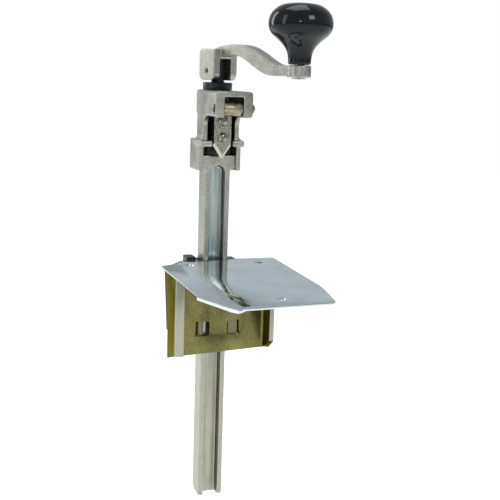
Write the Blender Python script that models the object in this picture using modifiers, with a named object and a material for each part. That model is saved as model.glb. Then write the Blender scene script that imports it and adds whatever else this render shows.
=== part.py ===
"""Table-mounted manual can opener: a grooved bar that slides in a sheet-metal base, with its head,
arbor, drive gear, crank, knob and pivoting knife holder.

Metres, +Z up. The origin is on the underside of the base plate, over the edge of the table, in line
with the bar. The operator's side, where the can goes, is -Y.
"""
import math
import bpy
import bmesh
from mathutils import Matrix, Vector

for leftover in list(bpy.data.objects):
    bpy.data.objects.remove(leftover, do_unlink=True)

# ---------------------------------------------------------------- driving dimensions
GAP = 0.0003                  # air kept between pieces that touch
RUN = 0.00005                 # radial clearance of a running fit
ROUND_STEPS = 40              # sides of a large turned piece
SMALL_STEPS = 24              # sides of a small turned piece

BAR_WIDTH = 0.0254
BAR_DEPTH = 0.022
BAR_LENGTH = 0.336            # below the head
BAR_FRONT = 0.036             # front face of the bar, behind the edge of the table
BAR_EDGE_ROUND = 0.0016
BAR_HEEL = 0.0075             # bevel across the back of its lower end
HEAD_BOTTOM = 0.0906          # underside of the head above the table at rest
GROOVE_WIDTH = 0.0148
GROOVE_DEPTH = 0.0095
GROOVE_OVERRUN = 0.0045       # how far the round end of the groove reaches into the head

BOX_WIDTH = 0.043             # lower box of the head
FLARE_RADIUS = 0.0042         # fillet between the cheeks and the lower box
THROAT_RADIUS = 0.0090        # fillet between the front of the cheeks and the block over them
BOX_HEIGHT = 0.0295
BOX_WING = 0.0052             # how far its side wings stand in front of the bar
RECESS_WIDTH = 0.033
HEAD_BACK = 0.018             # radius of the back of the head about the arbor
CHAMBER_HEIGHT = 0.0092       # gear chamber
CHAMBER_FLOOR = 0.0145        # above the underside of the head
CHAMBER_REACH = 0.0006        # air round the gear in its chamber
LIP_WIDTH = 0.044
LIP_THICKNESS = 0.006
LIP_REACH = 0.013             # front of the lip, from the front of the bar
LIP_SLOT = 0.0205             # opening in the lip that the knife swings through
CHEEK_WIDTH = 0.0366
CHEEK_WALL = 0.0048
CHEEK_HEIGHT = 0.0233
CHEEK_REACH = 0.007
BLOCK_WIDTH = 0.0369
BLOCK_HEIGHT = 0.0239
BLOCK_REACH = 0.0454
BLOCK_ROUND = 0.003           # its front corners, seen from above
BLOCK_EDGE_ROUND = 0.0034      # and its long edges, seen from the front
BLOCK_ROOF = 0.005
WINDOW_LEFT = -0.0099
WINDOW_RIGHT = 0.0088
WINDOW_BACK = 0.0036          # back wall of the holder window, from the front of the bar

ARBOR_INSET = 0.008           # arbor axis behind the front of the bar
ARBOR_BODY = 0.0086           # radii
ARBOR_NECK = 0.0060
ARBOR_SHANK = 0.0060
ARBOR_SEAT = 0.0050           # end that the gear sits on
ARBOR_FLANGE = 0.0140
FLANGE_HEIGHT = 0.0070
FLANGE_FILLET = 0.0015
SHANK_HEIGHT = 0.0220         # above the flange
BUSH_WALL = 0.0014
UPPER_BUSH_LENGTH = 0.016
LOWER_BUSH_LENGTH = 0.0085

GEAR_TEETH = 28
GEAR_TIP = 0.0140
GEAR_ROOT = 0.0126
GEAR_THICKNESS = 0.0078
GEAR_SCREW_SHANK = 0.0024
GEAR_SCREW_HEAD = 0.0048
GEAR_SCREW_LENGTH = 0.010
GEAR_SCREW_HEAD_HEIGHT = 0.0024
GEAR_WASHER_THICKNESS = 0.0010

HOLDER_PIN_RADIUS = 0.0040
HOLDER_PIN_REACH = 0.0390     # pin axis, in front of the bar
HOLDER_PIN_DROP = 0.0157      # pin axis, below the top of the head
PIN_RECESS = 0.0022           # how deep the left end sits in its hole
PIN_HEAD_RADIUS = 0.0036
PIN_HEAD_HEIGHT = 0.0028
HUB_RADIUS = 0.0064
HUB_LEFT = -0.00965
HUB_RIGHT = 0.0069
ARM_HALF_WIDTH = 0.0068
LEG_THICKNESS = 0.0045
KNIFE_FACE = 0.0120           # front of the knife, from the front of the bar
KNIFE_THICKNESS = 0.0030
KNIFE_WIDTH = 0.0170
KNIFE_TOP = 0.0237            # below the top of the head
KNIFE_SHOULDER = 0.0512
KNIFE_TIP = 0.0652
KNIFE_POINT_WIDTH = 0.0190
KNIFE_SCREW_DROPS = (0.0285, 0.0442)
SCREW_HEAD_RADIUS = 0.0049
SCREW_HEAD_HEIGHT = 0.0028
SCREW_SHANK_RADIUS = 0.0024
SCREW_LENGTH = 0.0078
SLOT_WIDTH = 0.0012
SLOT_DEPTH = 0.0012
SPRING_WIRE = 0.0006          # radius
SPRING_LEG = 0.0120

CRANK_LENGTH = 0.122
CRANK_HEADING = math.radians(-73.0)   # direction of the arm at rest, from +X
CLEVIS_SLOT = 0.0126
CLEVIS_EAR = 0.0070
CLEVIS_DEPTH = 0.0250
CLEVIS_GAP = 0.0020           # air between the ears and the flange
CLEVIS_BRIDGE = 0.0090
ARM_WIDTH = 0.0112
BOSS_RADIUS = 0.01035
BOSS_HEIGHT = 0.0104
BOSS_TOP = 0.0250             # above the top of the head
CRANK_PIN_RADIUS = 0.0024
CRANK_PIN_DROP = 0.0115       # below the top of the shank
PIN_FIT = 0.0003

KNOB_RADIUS = 0.0280
KNOB_HEIGHT = 0.0523
KNOB_NECK = 0.0098
STUD_RADIUS = 0.0046
STUD_REACH = 0.0330           # above the boss
RING_GROOVE_DEPTH = 0.0008
RING_THICKNESS = 0.0010

BASE_SHIFT = 0.0024           # the bar stands this far left of the middle of the base

PLATE_THICKNESS = 0.0019
PLATE_BACK = -0.0030          # back edge, from the front of the bar, forward positive
PLATE_KINK = 0.1260
PLATE_FRONT = 0.1900
PLATE_LEFT = (-0.0545, -0.0570, -0.0415)    # left edge at the back, the kink and the front
PLATE_RIGHT = (0.0630, 0.0570, 0.0440)
WING_FOLD = -0.0355           # the left side steps down outside this
WING_FOOT = -0.0440
WING_STEP = 0.0034
WING_SLOPE = 0.11
EDGE_FOLD = 0.0030            # strip along the right edge that is turned down
EDGE_DROP = 0.0010
PLATE_RIM = 0.0034
PLATE_NOTCH_CLEARANCE = 0.0008
SCREW_HOLE_SPACING = 0.0350
SCREW_HOLE_BACK = 0.0200      # from the front of the bar
SCREW_HOLE_FRONT = 0.1700
SCREW_HOLE_RADIUS = 0.0032
SCREW_SINK_RADIUS = 0.0046

BRACKET_SHEET = 0.0016
BRACKET_BEND = 0.0030         # inner radius of its bends
BRACKET_WEB = 0.0060          # front of the web, from the front of the bar
BRACKET_LEFT = -0.0504        # outer faces of its walls
BRACKET_RIGHT = 0.0515
BRACKET_LEFT_LIP = 0.0089
BRACKET_RIGHT_LIP = 0.0060
BRACKET_BOTTOM = -0.0929      # lower edge of the web at its left end
BRACKET_RIGHT_BOTTOM = -0.0879
WALL_BOTTOM = -0.0838
WALL_CORNER = (0.0160, -0.0848)     # where the missing corner of the right wall begins, as (y, z)
WALL_CORNER_TOP = -0.0734
EAR_BACK = 0.0435
EAR_BOTTOM = -0.0640
WEB_HOLE_INNER = 0.0092
WEB_HOLE_OUTER = 0.0255
WEB_HOLE_BOTTOM = -0.0734
WEB_HOLE_TOP = -0.0584
WEB_HOLE_ROUND = 0.0028
TAB_BEND = 0.0032             # inner radius of the fold of the lanced tabs
TAB_DEPTH = 0.0170
FLANGE_DEPTH = 0.0130

GUIDE_CLEARANCE = 0.0004      # round the sliding bar
GUIDE_HALF_WIDTH = 0.0235
GUIDE_BACK_WALL = 0.0050
GUIDE_BOTTOM = -0.0820
LUG_INNER = 0.0165
LUG_OUTER = 0.0260
LUG_TOP = 0.0014
PAD_OVERLAP = 0.0040            # the pads reach this far above and below the tabs
STRAP_SHEET = 0.0015
STRAP_HEIGHT = 0.0120
SPRING_SHEET = 0.0008
SPRING_BOW = 0.0014

# ---------------------------------------------------------------- levels and places
ARBOR_Y = BAR_FRONT + ARBOR_INSET
BAR_BACK = BAR_FRONT + BAR_DEPTH
BAR_BOTTOM = HEAD_BOTTOM - BAR_LENGTH
BOX_TOP = HEAD_BOTTOM + BOX_HEIGHT
LIP_BOTTOM = BOX_TOP - LIP_THICKNESS
BLOCK_BOTTOM = BOX_TOP + CHEEK_HEIGHT
HEAD_TOP = BLOCK_BOTTOM + BLOCK_HEIGHT
CHAMBER_BOTTOM = HEAD_BOTTOM + CHAMBER_FLOOR
CHAMBER_TOP = CHAMBER_BOTTOM + CHAMBER_HEIGHT
FLANGE_BOTTOM = HEAD_TOP + GAP
FLANGE_TOP = FLANGE_BOTTOM + FLANGE_HEIGHT
SHANK_TOP = FLANGE_TOP + SHANK_HEIGHT
GEAR_TOP = CHAMBER_TOP - 0.0005
GEAR_BOTTOM = GEAR_TOP - GEAR_THICKNESS
PIN_Y = BAR_FRONT - HOLDER_PIN_REACH
PIN_Z = HEAD_TOP - HOLDER_PIN_DROP
KNIFE_FRONT_Y = BAR_FRONT - KNIFE_FACE
KNIFE_BACK_Y = KNIFE_FRONT_Y + KNIFE_THICKNESS
LEG_FRONT_Y = KNIFE_BACK_Y + GAP
LEG_BACK_Y = LEG_FRONT_Y + LEG_THICKNESS
CRANK_DIRECTION = Vector((math.cos(CRANK_HEADING), math.sin(CRANK_HEADING), 0.0))
KNOB_CENTRE = Vector((0.0, ARBOR_Y, 0.0)) + CRANK_LENGTH * CRANK_DIRECTION
BOSS_TOP_Z = HEAD_TOP + BOSS_TOP
BOSS_BOTTOM_Z = BOSS_TOP_Z - BOSS_HEIGHT
CRANK_PIN_Z = SHANK_TOP - CRANK_PIN_DROP
FAR = 0.2                     # reach of a cutter past what it cuts

# ---------------------------------------------------------------- collections and materials
parts = bpy.data.collections.new("can_opener")
cutters = bpy.data.collections.new("cutters")
bpy.context.scene.collection.children.link(parts)
bpy.context.scene.collection.children.link(cutters)


def finish(name, colour, roughness, metallic):
    material = bpy.data.materials.new(name)
    material.use_nodes = True
    shader = material.node_tree.nodes["Principled BSDF"]
    shader.inputs["Base Color"].default_value = (*colour, 1.0)
    shader.inputs["Roughness"].default_value = roughness
    shader.inputs["Metallic"].default_value = metallic
    material.diffuse_color = (*colour, 1.0)
    return material


NICKEL = ("nickel", (0.55, 0.52, 0.46), 0.42, 1.0)
STAINLESS = ("stainless", (0.62, 0.65, 0.66), 0.22, 1.0)
PLATED = ("plated_steel", (0.50, 0.48, 0.32), 0.25, 1.0)
BLACK_OXIDE = ("black_oxide", (0.012, 0.013, 0.016), 0.28, 0.6)
PHENOLIC = ("phenolic", (0.008, 0.008, 0.010), 0.08, 0.0)
BRONZE = ("bronze", (0.50, 0.36, 0.18), 0.40, 1.0)
BLACK_NYLON = ("black_nylon", (0.015, 0.017, 0.020), 0.45, 0.0)
LIGHT_NYLON = ("light_nylon", (0.80, 0.80, 0.75), 0.50, 0.0)
SPRING_STEEL = ("spring_steel", (0.35, 0.34, 0.33), 0.30, 1.0)
HARD_STEEL = ("tool_steel", (0.48, 0.46, 0.40), 0.30, 1.0)


# ---------------------------------------------------------------- modelling helpers
def add(name, mesh, look=None):
    """An object for a mesh; a piece when it has a look, a cutter when it has none."""
    thing = bpy.data.objects.new(name, mesh)
    if look is None:
        cutters.objects.link(thing)
        thing.hide_render = True
        thing.display_type = "WIRE"
    else:
        parts.objects.link(thing)
        mesh.materials.append(finish(name + "_" + look[0], *look[1:]))
    return thing


def mesh_of(name, bm):
    bmesh.ops.recalc_face_normals(bm, faces=bm.faces)
    mesh = bpy.data.meshes.new(name)
    bm.to_mesh(mesh)
    bm.free()
    return mesh


def box(name, x, y, z, look=None):
    """A block between three pairs of limits."""
    bm = bmesh.new()
    size = Matrix.Diagonal((x[1] - x[0], y[1] - y[0], z[1] - z[0], 1.0))
    middle = Vector(((x[0] + x[1]) / 2, (y[0] + y[1]) / 2, (z[0] + z[1]) / 2))
    bmesh.ops.create_cube(bm, size=1.0, matrix=Matrix.Translation(middle) @ size)
    return add(name, mesh_of(name, bm), look)


def along(axis):
    """The rotation that turns +Z onto an axis."""
    return Vector((0, 0, 1)).rotation_difference(Vector(axis)).to_matrix().to_4x4()


def rod(name, centre, axis, radius, length, look=None, steps=SMALL_STEPS, end_radius=None):
    """A cylinder or cone about its centre."""
    bm = bmesh.new()
    place = Matrix.Translation(Vector(centre)) @ along(axis)
    last = radius if end_radius is None else end_radius
    bmesh.ops.create_cone(bm, cap_ends=True, segments=steps, radius1=radius, radius2=last,
                          depth=length, matrix=place)
    return add(name, mesh_of(name, bm), look)


def outline(name, points, thickness, place, look=None):
    """A flat outline, given in its own plane, with its thickness centred on that plane."""
    curve = bpy.data.curves.new(name, "CURVE")
    curve.dimensions = "2D"
    curve.fill_mode = "BOTH"
    curve.extrude = thickness / 2
    spline = curve.splines.new("POLY")
    spline.points.add(len(points) - 1)
    for point, (u, v) in zip(spline.points, points):
        point.co = (u, v, 0.0, 1.0)
    spline.use_cyclic_u = True
    flat = bpy.data.objects.new(name + "_outline", curve)
    cutters.objects.link(flat)
    bpy.context.view_layer.update()
    seen = flat.evaluated_get(bpy.context.evaluated_depsgraph_get())
    solid = bpy.data.meshes.new_from_object(seen)
    bpy.data.objects.remove(flat, do_unlink=True)
    bm = bmesh.new()
    bm.from_mesh(solid)
    bpy.data.meshes.remove(solid)
    bmesh.ops.remove_doubles(bm, verts=bm.verts, dist=0.00001)
    bmesh.ops.transform(bm, matrix=place, verts=bm.verts)
    return add(name, mesh_of(name, bm), look)


def turned(name, profile, centre, axis, look=None, steps=SMALL_STEPS):
    """A turned piece: (radius, height) pairs from the top down its outer side to the bottom."""
    mesh = bpy.data.meshes.new(name)
    points = [(radius, 0.0, height) for radius, height in profile]
    edges = [(i, i + 1) for i in range(len(points) - 1)]
    if profile[0][0] > 0 or profile[-1][0] > 0:
        edges.append((len(points) - 1, 0))
    mesh.from_pydata(points, edges, [])
    piece = add(name, mesh, look)
    piece.matrix_world = Matrix.Translation(Vector(centre)) @ along(axis)
    screw = piece.modifiers.new("turn", "SCREW")
    screw.steps = steps
    screw.render_steps = steps
    screw.use_merge_vertices = True
    screw.merge_threshold = 0.00001
    screw.use_smooth_shade = True
    return piece


def side_plane(x=0.0):
    """Outline plane whose first axis is +Y and second is +Z, at a given x."""
    return Matrix(((0, 0, 1, x), (1, 0, 0, 0), (0, 1, 0, 0), (0, 0, 0, 1)))


def front_plane(y=0.0):
    """Outline plane whose first axis is +X and second is +Z, at a given y."""
    return Matrix(((1, 0, 0, 0), (0, 0, -1, y), (0, 1, 0, 0), (0, 0, 0, 1)))


def top_plane(z=0.0):
    return Matrix.Translation((0.0, 0.0, z))


def arc(u, v, radius, start, end, steps):
    """Points on an arc, in degrees."""
    turn = [math.radians(start + (end - start) * i / steps) for i in range(steps + 1)]
    return [(u + radius * math.cos(a), v + radius * math.sin(a)) for a in turn]


def rounded(u0, u1, v0, v1, radius, steps=4):
    """A rectangle with rounded corners."""
    corners = ((u1 - radius, v0 + radius, -90), (u1 - radius, v1 - radius, 0),
               (u0 + radius, v1 - radius, 90), (u0 + radius, v0 + radius, 180))
    return [p for u, v, a in corners for p in arc(u, v, radius, a, a + 90, steps)]


def smooth_through(points, steps):
    """Points on a smooth curve through the given ones."""
    held = [points[0], *points, points[-1]]
    path = []
    for a, b, c, d in zip(held, held[1:], held[2:], held[3:]):
        for i in range(steps):
            t = i / steps
            path.append(tuple(0.5 * (2 * q + (r - p) * t + (2 * p - 5 * q + 4 * r - s) * t * t
                                     + (3 * q - p - 3 * r + s) * t ** 3)
                              for p, q, r, s in zip(a, b, c, d)))
    return path + [points[-1]]


def combine(piece, other, operation="DIFFERENCE"):
    step = piece.modifiers.new(operation.lower() + "_" + other.name, "BOOLEAN")
    step.operation = operation
    step.object = other
    step.solver = "EXACT"
    return piece


def cut(piece, *others):
    for other in others:
        combine(piece, other)
    return piece


def join(piece, *others):
    for other in others:
        combine(piece, other, "UNION")
    return piece


def ease(piece, width, angle=40.0, segments=1):
    bevel = piece.modifiers.new("edges", "BEVEL")
    bevel.width = width
    bevel.segments = segments
    bevel.limit_method = "ANGLE"
    bevel.angle_limit = math.radians(angle)
    bevel.use_clamp_overlap = True
    return piece


# ---------------------------------------------------------------- bar and head casting
def opener_casting():
    """The bar and its head in one casting: gear chamber, lip, cheeks and the forked upper block."""
    body = box("opener_casting", (-BAR_WIDTH / 2, BAR_WIDTH / 2), (BAR_FRONT, BAR_BACK),
               (BAR_BOTTOM, HEAD_BOTTOM + CHAMBER_FLOOR / 2), NICKEL)
    ease(body, BAR_EDGE_ROUND, segments=2)
    wedge = [(BAR_BACK - BAR_HEEL, BAR_BOTTOM - 0.001), (BAR_BACK + 0.001, BAR_BOTTOM - 0.001),
             (BAR_BACK + 0.001, BAR_BOTTOM + BAR_HEEL)]
    cut(body, outline("bar_heel", wedge, 2 * BAR_WIDTH, side_plane()))

    sides = rounded(-BOX_WIDTH / 2, BOX_WIDTH / 2, BAR_FRONT - BOX_WING, ARBOR_Y + HEAD_BACK, 0.0025, 3)
    lower = outline("head_box", sides, BOX_HEIGHT, top_plane(HEAD_BOTTOM + BOX_HEIGHT / 2))
    ease(lower, 0.0008)

    lip = box("head_lip", (-LIP_WIDTH / 2, LIP_WIDTH / 2), (BAR_FRONT - LIP_REACH, ARBOR_Y),
              (LIP_BOTTOM, BOX_TOP))
    ease(lip, 0.0012, segments=2)

    half = CHEEK_WIDTH / 2
    back = arc(0.0, ARBOR_Y, HEAD_BACK, 20, 160, 10)
    front = BAR_FRONT - CHEEK_REACH
    corner = BLOCK_ROUND / 2
    plan = [*arc(-half + corner, front + corner, corner, 180, 270, 3),
            *arc(half - corner, front + corner, corner, 270, 360, 3),
            (half, ARBOR_Y + HEAD_BACK * 0.3), *back, (-half, ARBOR_Y + HEAD_BACK * 0.3)]
    cheeks = outline("head_cheeks", plan, CHEEK_HEIGHT + 0.006, top_plane(BOX_TOP + CHEEK_HEIGHT / 2))

    # the cheeks spread into the top of the lower box in a hollow fillet
    spread = FLARE_RADIUS
    flare = [(-half - spread, BOX_TOP - 0.003), (half + spread, BOX_TOP - 0.003),
             *arc(half + spread, BOX_TOP + spread, spread, 270, 180, 5),
             *arc(-half - spread, BOX_TOP + spread, spread, 0, -90, 5)]
    depth = ARBOR_Y + HEAD_BACK * 0.3 - front
    root = outline("cheek_flare", flare, depth - 0.001, front_plane(front + depth / 2))

    # and their front edges sweep forward under the block
    sweep = THROAT_RADIUS
    throat = [(front + 0.003, BLOCK_BOTTOM + 0.003), (front - sweep, BLOCK_BOTTOM + 0.003),
              *arc(front - sweep, BLOCK_BOTTOM - sweep, sweep, 90, 0, 5), (front + 0.003, BLOCK_BOTTOM - sweep)]
    gusset = outline("cheek_throat", throat, CHEEK_WIDTH, side_plane())

    half = BLOCK_WIDTH / 2
    front = BAR_FRONT - BLOCK_REACH
    corner = BLOCK_ROUND
    back = arc(0.0, ARBOR_Y, HEAD_BACK + 0.002, 20, 160, 10)
    plan = [*arc(-half + corner, front + corner, corner, 180, 270, 4),
            *arc(half - corner, front + corner, corner, 270, 360, 4),
            (half, ARBOR_Y + HEAD_BACK * 0.35), *back, (-half, ARBOR_Y + HEAD_BACK * 0.35)]
    block = outline("head_block", plan, BLOCK_HEIGHT, top_plane(BLOCK_BOTTOM + BLOCK_HEIGHT / 2))
    section = rounded(-half, half, BLOCK_BOTTOM, HEAD_TOP, BLOCK_EDGE_ROUND)
    combine(block, outline("block_section", section, 0.3, front_plane()), "INTERSECT")
    join(body, lower, lip, cheeks, root, gusset, block)

    # front of the lower box, between its wings, level with the front of the bar
    recess = box("box_recess", (-RECESS_WIDTH / 2, RECESS_WIDTH / 2), (BAR_FRONT - FAR, BAR_FRONT),
                 (HEAD_BOTTOM - 0.001, LIP_BOTTOM))
    # gear chamber: a flat slot that ends in a round pocket about the arbor
    pocket = GEAR_TIP + CHAMBER_REACH
    plan = [(-RECESS_WIDTH / 2, BAR_FRONT - FAR), (RECESS_WIDTH / 2, BAR_FRONT - FAR),
            (RECESS_WIDTH / 2, ARBOR_Y - pocket * 0.2), (pocket, ARBOR_Y),
            *arc(0.0, ARBOR_Y, pocket, 8, 172, 14), (-pocket, ARBOR_Y),
            (-RECESS_WIDTH / 2, ARBOR_Y - pocket * 0.2)]
    chamber = outline("gear_chamber", plan, CHAMBER_HEIGHT,
                      top_plane((CHAMBER_BOTTOM + CHAMBER_TOP) / 2))
    slot = box("lip_slot", (-LIP_SLOT / 2, LIP_SLOT / 2),
               (BAR_FRONT - FAR, BAR_FRONT), (CHAMBER_BOTTOM, BOX_TOP + 0.004))
    # hollow between the cheeks, and the window that holds the knife holder
    inner = CHEEK_WIDTH / 2 - CHEEK_WALL
    room = ARBOR_BODY + 0.0026
    plan = [(-inner, BAR_FRONT - FAR), (inner, BAR_FRONT - FAR), (inner, ARBOR_Y),
            *arc(0.0, ARBOR_Y, room, 20, 160, 10), (-inner, ARBOR_Y)]
    hollow = outline("cheek_hollow", plan, CHEEK_HEIGHT, top_plane(BOX_TOP + CHEEK_HEIGHT / 2))
    window = rounded(WINDOW_LEFT, WINDOW_RIGHT, BLOCK_BOTTOM - 0.006, HEAD_TOP - BLOCK_ROOF, 0.0014, 3)
    depth = BLOCK_REACH + 0.02 - WINDOW_BACK
    window = outline("holder_window", window, depth,
                     front_plane(BAR_FRONT - WINDOW_BACK - depth / 2))
    cut(body, recess, chamber, slot, hollow, window)

    # groove down the front of the bar, open at the foot and round at the head
    top = HEAD_BOTTOM + GROOVE_OVERRUN - GROOVE_WIDTH / 2
    half = GROOVE_WIDTH / 2
    shape = [(-half, BAR_BOTTOM - 0.01), (half, BAR_BOTTOM - 0.01), *arc(0.0, top, half, 0, 180, 12)]
    groove = outline("bar_groove", shape, GROOVE_DEPTH * 2, front_plane(BAR_FRONT))

    # bores: arbor bushes, gear screw pocket and the knife holder's pin
    bush_radius = ARBOR_BODY + RUN + BUSH_WALL + GAP
    upper_bore = rod("upper_bore", (0, ARBOR_Y, HEAD_TOP - UPPER_BUSH_LENGTH / 2 + 0.005), (0, 0, 1),
                     bush_radius, UPPER_BUSH_LENGTH + 0.0106, steps=ROUND_STEPS)
    throat = rod("arbor_throat", (0, ARBOR_Y, BLOCK_BOTTOM + 0.006), (0, 0, 1),
                 ARBOR_BODY + 0.0012, 0.014, steps=ROUND_STEPS)
    bush_radius = ARBOR_NECK + RUN + BUSH_WALL + GAP
    lower_bore = rod("lower_bore", (0, ARBOR_Y, LIP_BOTTOM + LIP_THICKNESS / 2), (0, 0, 1),
                     bush_radius, LIP_THICKNESS + 0.006, steps=ROUND_STEPS)
    well = GEAR_SCREW_HEAD_HEIGHT + GEAR_WASHER_THICKNESS + 0.0012
    screw_well = rod("screw_well", (0, ARBOR_Y, CHAMBER_BOTTOM - well / 2 + 0.002), (0, 0, 1),
                     GEAR_SCREW_HEAD + 0.001, well + 0.004)
    pin_bore = rod("pin_bore", (0, PIN_Y, PIN_Z), (1, 0, 0), HOLDER_PIN_RADIUS + GAP, 0.08)
    cut(body, groove, upper_bore, throat, lower_bore, screw_well, pin_bore)
    return body


def bush(name, inner, length, top, flange=0.0):
    """A plain bronze bush, with a thin collar at its top when it carries one."""
    outer = inner + BUSH_WALL
    collar = 0.0012
    profile = [(inner, top), (outer, top), (outer, top - length), (inner, top - length)]
    if flange:
        profile = [(inner, top), (outer + flange, top), (outer + flange, top - collar),
                   (outer, top - collar), (outer, top - length), (inner, top - length)]
    return turned(name, profile, (0, ARBOR_Y, 0), (0, 0, 1), BRONZE, ROUND_STEPS)


# ---------------------------------------------------------------- arbor, gear and crank
def arbor():
    """The black spindle: shank, flange, long body, neck and gear seat, tapped for the gear screw."""
    seat_top = LIP_BOTTOM - GAP
    neck_top = BOX_TOP + 0.003 + GAP
    tap = GEAR_SCREW_SHANK + GAP
    depth = GEAR_SCREW_LENGTH + 0.002
    foot = GEAR_BOTTOM + GAP
    fillet = [(ARBOR_SHANK + FLANGE_FILLET - math.sin(math.radians(a)) * FLANGE_FILLET,
               FLANGE_TOP + FLANGE_FILLET - math.cos(math.radians(a)) * FLANGE_FILLET)
              for a in (90, 60, 30, 0)]
    profile = [(0.0, SHANK_TOP), (ARBOR_SHANK - 0.0006, SHANK_TOP), (ARBOR_SHANK, SHANK_TOP - 0.0006),
               *fillet, (ARBOR_FLANGE - 0.0004, FLANGE_TOP), (ARBOR_FLANGE, FLANGE_TOP - 0.0004),
               (ARBOR_FLANGE, FLANGE_BOTTOM), (ARBOR_BODY, FLANGE_BOTTOM), (ARBOR_BODY, neck_top),
               (ARBOR_NECK, neck_top), (ARBOR_NECK, seat_top), (ARBOR_SEAT, seat_top),
               (ARBOR_SEAT, foot), (tap, foot), (tap, foot + depth), (0.0, foot + depth + tap / 2)]
    spindle = turned("arbor", profile, (0, ARBOR_Y, 0), (0, 0, 1), BLACK_OXIDE, ROUND_STEPS)
    across = Vector((0, 0, 1)).cross(CRANK_DIRECTION)
    hole = rod("crank_pin_hole", (0, ARBOR_Y, CRANK_PIN_Z), across, CRANK_PIN_RADIUS + GAP, 0.03)
    return cut(spindle, hole)


def drive_gear():
    pitch = 2 * math.pi / GEAR_TEETH
    points = []
    for tooth in range(GEAR_TEETH):
        for share, radius in ((-0.34, GEAR_ROOT), (-0.15, GEAR_TIP), (0.15, GEAR_TIP), (0.34, GEAR_ROOT)):
            turn = (tooth + share) * pitch
            points.append((radius * math.cos(turn), radius * math.sin(turn)))
    place = Matrix.Translation((0, ARBOR_Y, (GEAR_TOP + GEAR_BOTTOM) / 2))
    gear = outline("drive_gear", points, GEAR_THICKNESS, place, HARD_STEEL)
    bore = rod("gear_bore", (0, ARBOR_Y, GEAR_TOP), (0, 0, 1), ARBOR_SEAT + GAP, 0.04, steps=ROUND_STEPS)
    return cut(gear, bore)


def gear_fasteners():
    """The screw and washer that hold the gear on the arbor from below."""
    washer_top = GEAR_BOTTOM - GAP
    washer_bottom = washer_top - GEAR_WASHER_THICKNESS
    hole = GEAR_SCREW_SHANK + GAP
    rim = GEAR_SCREW_HEAD + 0.0006
    turned("gear_washer", [(hole, washer_top), (rim, washer_top), (rim, washer_bottom),
                           (hole, washer_bottom)], (0, ARBOR_Y, 0), (0, 0, 1), SPRING_STEEL)
    seat = washer_bottom - GAP
    tip = GEAR_BOTTOM + GEAR_SCREW_LENGTH
    head = seat - GEAR_SCREW_HEAD_HEIGHT
    profile = [(0, tip), (GEAR_SCREW_SHANK - 0.0004, tip), (GEAR_SCREW_SHANK, tip - 0.0004),
               (GEAR_SCREW_SHANK, seat), (GEAR_SCREW_HEAD, seat), (GEAR_SCREW_HEAD, head + 0.0006),
               (GEAR_SCREW_HEAD - 0.0006, head), (0, head)]
    screw = turned("gear_screw", profile, (0, ARBOR_Y, 0), (0, 0, 1), SPRING_STEEL)
    slot = box("gear_screw_slot", (-0.01, 0.01), (ARBOR_Y - SLOT_WIDTH / 2, ARBOR_Y + SLOT_WIDTH / 2),
               (head - 0.001, head + SLOT_DEPTH))
    cut(screw, slot)


def crank_plane(offset=0.0):
    """Outline plane that stands along the arm: first axis out along the arm, second up."""
    across = CRANK_DIRECTION.cross(Vector((0, 0, 1)))
    base = Vector((0, ARBOR_Y, 0)) + offset * across
    u = CRANK_DIRECTION
    return Matrix(((u.x, 0, across.x, base.x), (u.y, 0, across.y, base.y), (0, 1, 0, 0), (0, 0, 0, 1)))


def crank_arm():
    """A forked casting over the arbor's shank, an S-shaped arm and a round boss for the knob."""
    roof = SHANK_TOP + GAP
    ears_bottom = FLANGE_TOP + CLEVIS_GAP
    half = CLEVIS_DEPTH / 2
    top = roof + CLEVIS_BRIDGE
    width = CLEVIS_SLOT + 2 * CLEVIS_EAR
    side = [*arc(-half + 0.006, ears_bottom + 0.006, 0.006, 180, 270, 4),
            *arc(half - 0.006, ears_bottom + 0.006, 0.006, 270, 360, 4),
            *arc(half - 0.002, top - 0.002, 0.002, 0, 90, 2),
            *arc(-half + 0.003, top - 0.003, 0.003, 90, 180, 3)]
    clevis = outline("crank_arm", side, width, crank_plane(), NICKEL)
    ease(clevis, 0.0012, segments=2)

    upper = [(0.004, 0.0405), (0.018, 0.0420), (0.034, 0.0428), (0.052, 0.0412), (0.069, 0.0357),
             (0.083, 0.0294), (0.097, BOSS_TOP), (CRANK_LENGTH, BOSS_TOP - 0.0006)]
    lower = [(CRANK_LENGTH, BOSS_TOP - BOSS_HEIGHT + 0.0010), (0.089, 0.0155), (0.076, 0.0180), (0.061, 0.0240),
             (0.046, 0.0305), (0.034, 0.0328), (0.016, 0.0316), (0.004, 0.0320)]
    path = [*smooth_through(upper, 3), *smooth_through(lower, 3)]
    side = [(u, HEAD_TOP + v) for u, v in path]
    arm = outline("crank_web", side, ARM_WIDTH, crank_plane())
    ease(arm, 0.0018, angle=50.0, segments=2)

    centre = (KNOB_CENTRE.x, KNOB_CENTRE.y, (BOSS_TOP_Z + BOSS_BOTTOM_Z) / 2)
    boss = rod("crank_boss", centre, (0, 0, 1), BOSS_RADIUS, BOSS_HEIGHT, steps=ROUND_STEPS)
    ease(boss, 0.0008)
    join(clevis, arm, boss)

    slot = outline("clevis_slot", rounded(-half - 0.003, half + 0.003, ears_bottom - 0.02, roof, 0.0006, 2),
                   CLEVIS_SLOT, crank_plane())
    across = CRANK_DIRECTION.cross(Vector((0, 0, 1)))
    pin_hole = rod("clevis_pin_hole", (0, ARBOR_Y, CRANK_PIN_Z), across, CRANK_PIN_RADIUS + PIN_FIT, 0.06)
    stud_hole = rod("boss_hole", (KNOB_CENTRE.x, KNOB_CENTRE.y, BOSS_TOP_Z), (0, 0, 1),
                    STUD_RADIUS + GAP, 0.05)
    return cut(clevis, slot, pin_hole, stud_hole)


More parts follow.
